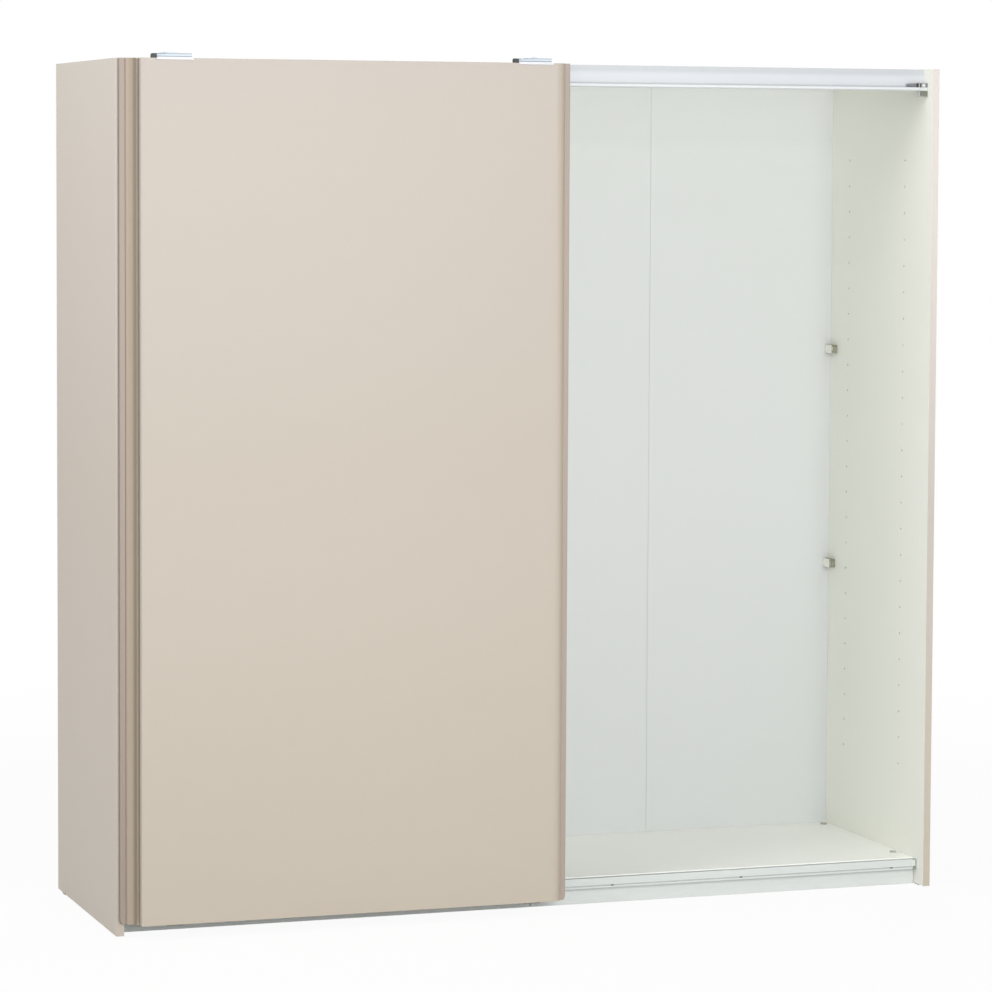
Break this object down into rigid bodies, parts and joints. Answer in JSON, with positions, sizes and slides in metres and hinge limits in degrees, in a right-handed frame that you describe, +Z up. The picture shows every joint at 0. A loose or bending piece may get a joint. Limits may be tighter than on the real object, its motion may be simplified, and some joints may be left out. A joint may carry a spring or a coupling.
{
  "type": "sliding door cabinet",
  "caption": "Tall wardrobe cabinet with a partition, an open back-boarded interior and overlapping top-hung sliding doors that have recessed full-height edge grips.",
  "frame": {"origin": "on the floor, under the middle of the whole cabinet, its doors at the left as in the picture", "axes": "+X to the right along the front, +Y to the back, +Z up; the doors are on the -Y side"},
  "size_m": [2.01, 0.651, 1.9844],
  "materials": {
    "cashmere_board": "fine-grained melamine, satin",
    "white_board": "smooth white melamine, satin",
    "back_hardboard": "white lacquered hardboard, matt",
    "white_plastic": "satin",
    "rail_aluminium": "pale anodised, satin",
    "hanger_steel": "zinc plated, bright",
    "nylon": "satin",
    "black_plastic": "satin",
    "grey_plastic": "satin",
    "nickel": "nickel plated, bright"
  },
  "bodies": {
    "cabinet": {"left_side_panel": "cashmere_board", "right_side_panel": "cashmere_board", "middle_partition": "white_board", "top_board_left": "white_board", "top_board_right": "white_board", "bottom_board_left": "white_board", "bottom_board_right": "white_board", "plinth_left": "white_board", "plinth_right": "white_board", "back_sheet_1": "back_hardboard", "back_sheet_2": "back_hardboard", "back_sheet_3": "back_hardboard", "back_sheet_4": "back_hardboard", "back_joint_strip_left": "white_plastic", "back_joint_strip_right": "white_plastic", "back_clip_left_lower": "nickel", "back_clip_left_upper": "nickel", "back_clip_right_lower": "nickel", "back_clip_right_upper": "nickel", "foot_glide_left_front": "black_plastic", "foot_glide_left_rear": "black_plastic", "foot_glide_middle_front": "black_plastic", "foot_glide_middle_rear": "black_plastic", "foot_glide_right_front": "black_plastic", "foot_glide_right_rear": "black_plastic", "top_rail": "rail_aluminium", "bottom_guide_rail": "white_plastic", "rail_end_stop_left": "grey_plastic", "rail_end_stop_right": "grey_plastic", "upper_track_stop_left": "grey_plastic", "upper_track_stop_right": "grey_plastic"},
    "front_door": {"front_door_panel": "cashmere_board", "front_door_grip_strip": "cashmere_board", "front_door_hanger_left": "hanger_steel", "front_door_hanger_right": "hanger_steel", "front_door_buffer_left": "black_plastic", "front_door_buffer_right": "black_plastic", "front_door_guide_left": "grey_plastic", "front_door_guide_right": "grey_plastic"},
    "rear_door": {"rear_door_panel": "cashmere_board", "rear_door_grip_strip": "cashmere_board", "rear_door_hanger_left": "hanger_steel", "rear_door_hanger_right": "hanger_steel", "rear_door_guide_left": "grey_plastic", "rear_door_guide_right": "grey_plastic"},
    "front_roller_1": {"front_roller_1": "nylon"},
    "front_roller_2": {"front_roller_2": "nylon"},
    "front_roller_3": {"front_roller_3": "nylon"},
    "front_roller_4": {"front_roller_4": "nylon"},
    "rear_roller_1": {"rear_roller_1": "nylon"},
    "rear_roller_2": {"rear_roller_2": "nylon"},
    "rear_roller_3": {"rear_roller_3": "nylon"},
    "rear_roller_4": {"rear_roller_4": "nylon"}
  },
  "joints": [
    {"name": "front_door_slide", "type": "slide", "parent": "cabinet", "child": "front_door", "axis": [1, 0, 0], "range_m": [0, 0.944]},
    {"name": "rear_door_slide", "type": "slide", "parent": "cabinet", "child": "rear_door", "axis": [1, 0, 0], "range_m": [0, 0.944]},
    {"name": "front_roller_1_spin", "type": "hinge", "parent": "front_door", "child": "front_roller_1", "pos_m": [-0.889, -0.2173, 1.9688], "axis": [0, 1, 0], "continuous": true},
    {"name": "front_roller_2_spin", "type": "hinge", "parent": "front_door", "child": "front_roller_2", "pos_m": [-0.856, -0.2173, 1.9688], "axis": [0, 1, 0], "continuous": true},
    {"name": "front_roller_3_spin", "type": "hinge", "parent": "front_door", "child": "front_roller_3", "pos_m": [-0.042, -0.2173, 1.9688], "axis": [0, 1, 0], "continuous": true},
    {"name": "front_roller_4_spin", "type": "hinge", "parent": "front_door", "child": "front_roller_4", "pos_m": [-0.009, -0.2173, 1.9688], "axis": [0, 1, 0], "continuous": true},
    {"name": "rear_roller_1_spin", "type": "hinge", "parent": "rear_door", "child": "rear_roller_1", "pos_m": [-0.921, -0.235, 1.9298], "axis": [0, 1, 0], "continuous": true},
    {"name": "rear_roller_2_spin", "type": "hinge", "parent": "rear_door", "child": "rear_roller_2", "pos_m": [-0.869, -0.235, 1.9298], "axis": [0, 1, 0], "continuous": true},
    {"name": "rear_roller_3_spin", "type": "hinge", "parent": "rear_door", "child": "rear_roller_3", "pos_m": [-0.075, -0.235, 1.9298], "axis": [0, 1, 0], "continuous": true},
    {"name": "rear_roller_4_spin", "type": "hinge", "parent": "rear_door", "child": "rear_roller_4", "pos_m": [-0.023, -0.235, 1.9298], "axis": [0, 1, 0], "continuous": true}
  ],
  "couplings": [
    {"joint": "front_roller_1_spin", "follows": "front_door_slide", "rad_per_m": 117.65},
    {"joint": "front_roller_2_spin", "follows": "front_door_slide", "rad_per_m": 117.65},
    {"joint": "front_roller_3_spin", "follows": "front_door_slide", "rad_per_m": 117.65},
    {"joint": "front_roller_4_spin", "follows": "front_door_slide", "rad_per_m": 117.65},
    {"joint": "rear_roller_1_spin", "follows": "rear_door_slide", "rad_per_m": 117.65},
    {"joint": "rear_roller_2_spin", "follows": "rear_door_slide", "rad_per_m": 117.65},
    {"joint": "rear_roller_3_spin", "follows": "rear_door_slide", "rad_per_m": 117.65},
    {"joint": "rear_roller_4_spin", "follows": "rear_door_slide", "rad_per_m": 117.65}
  ]
}
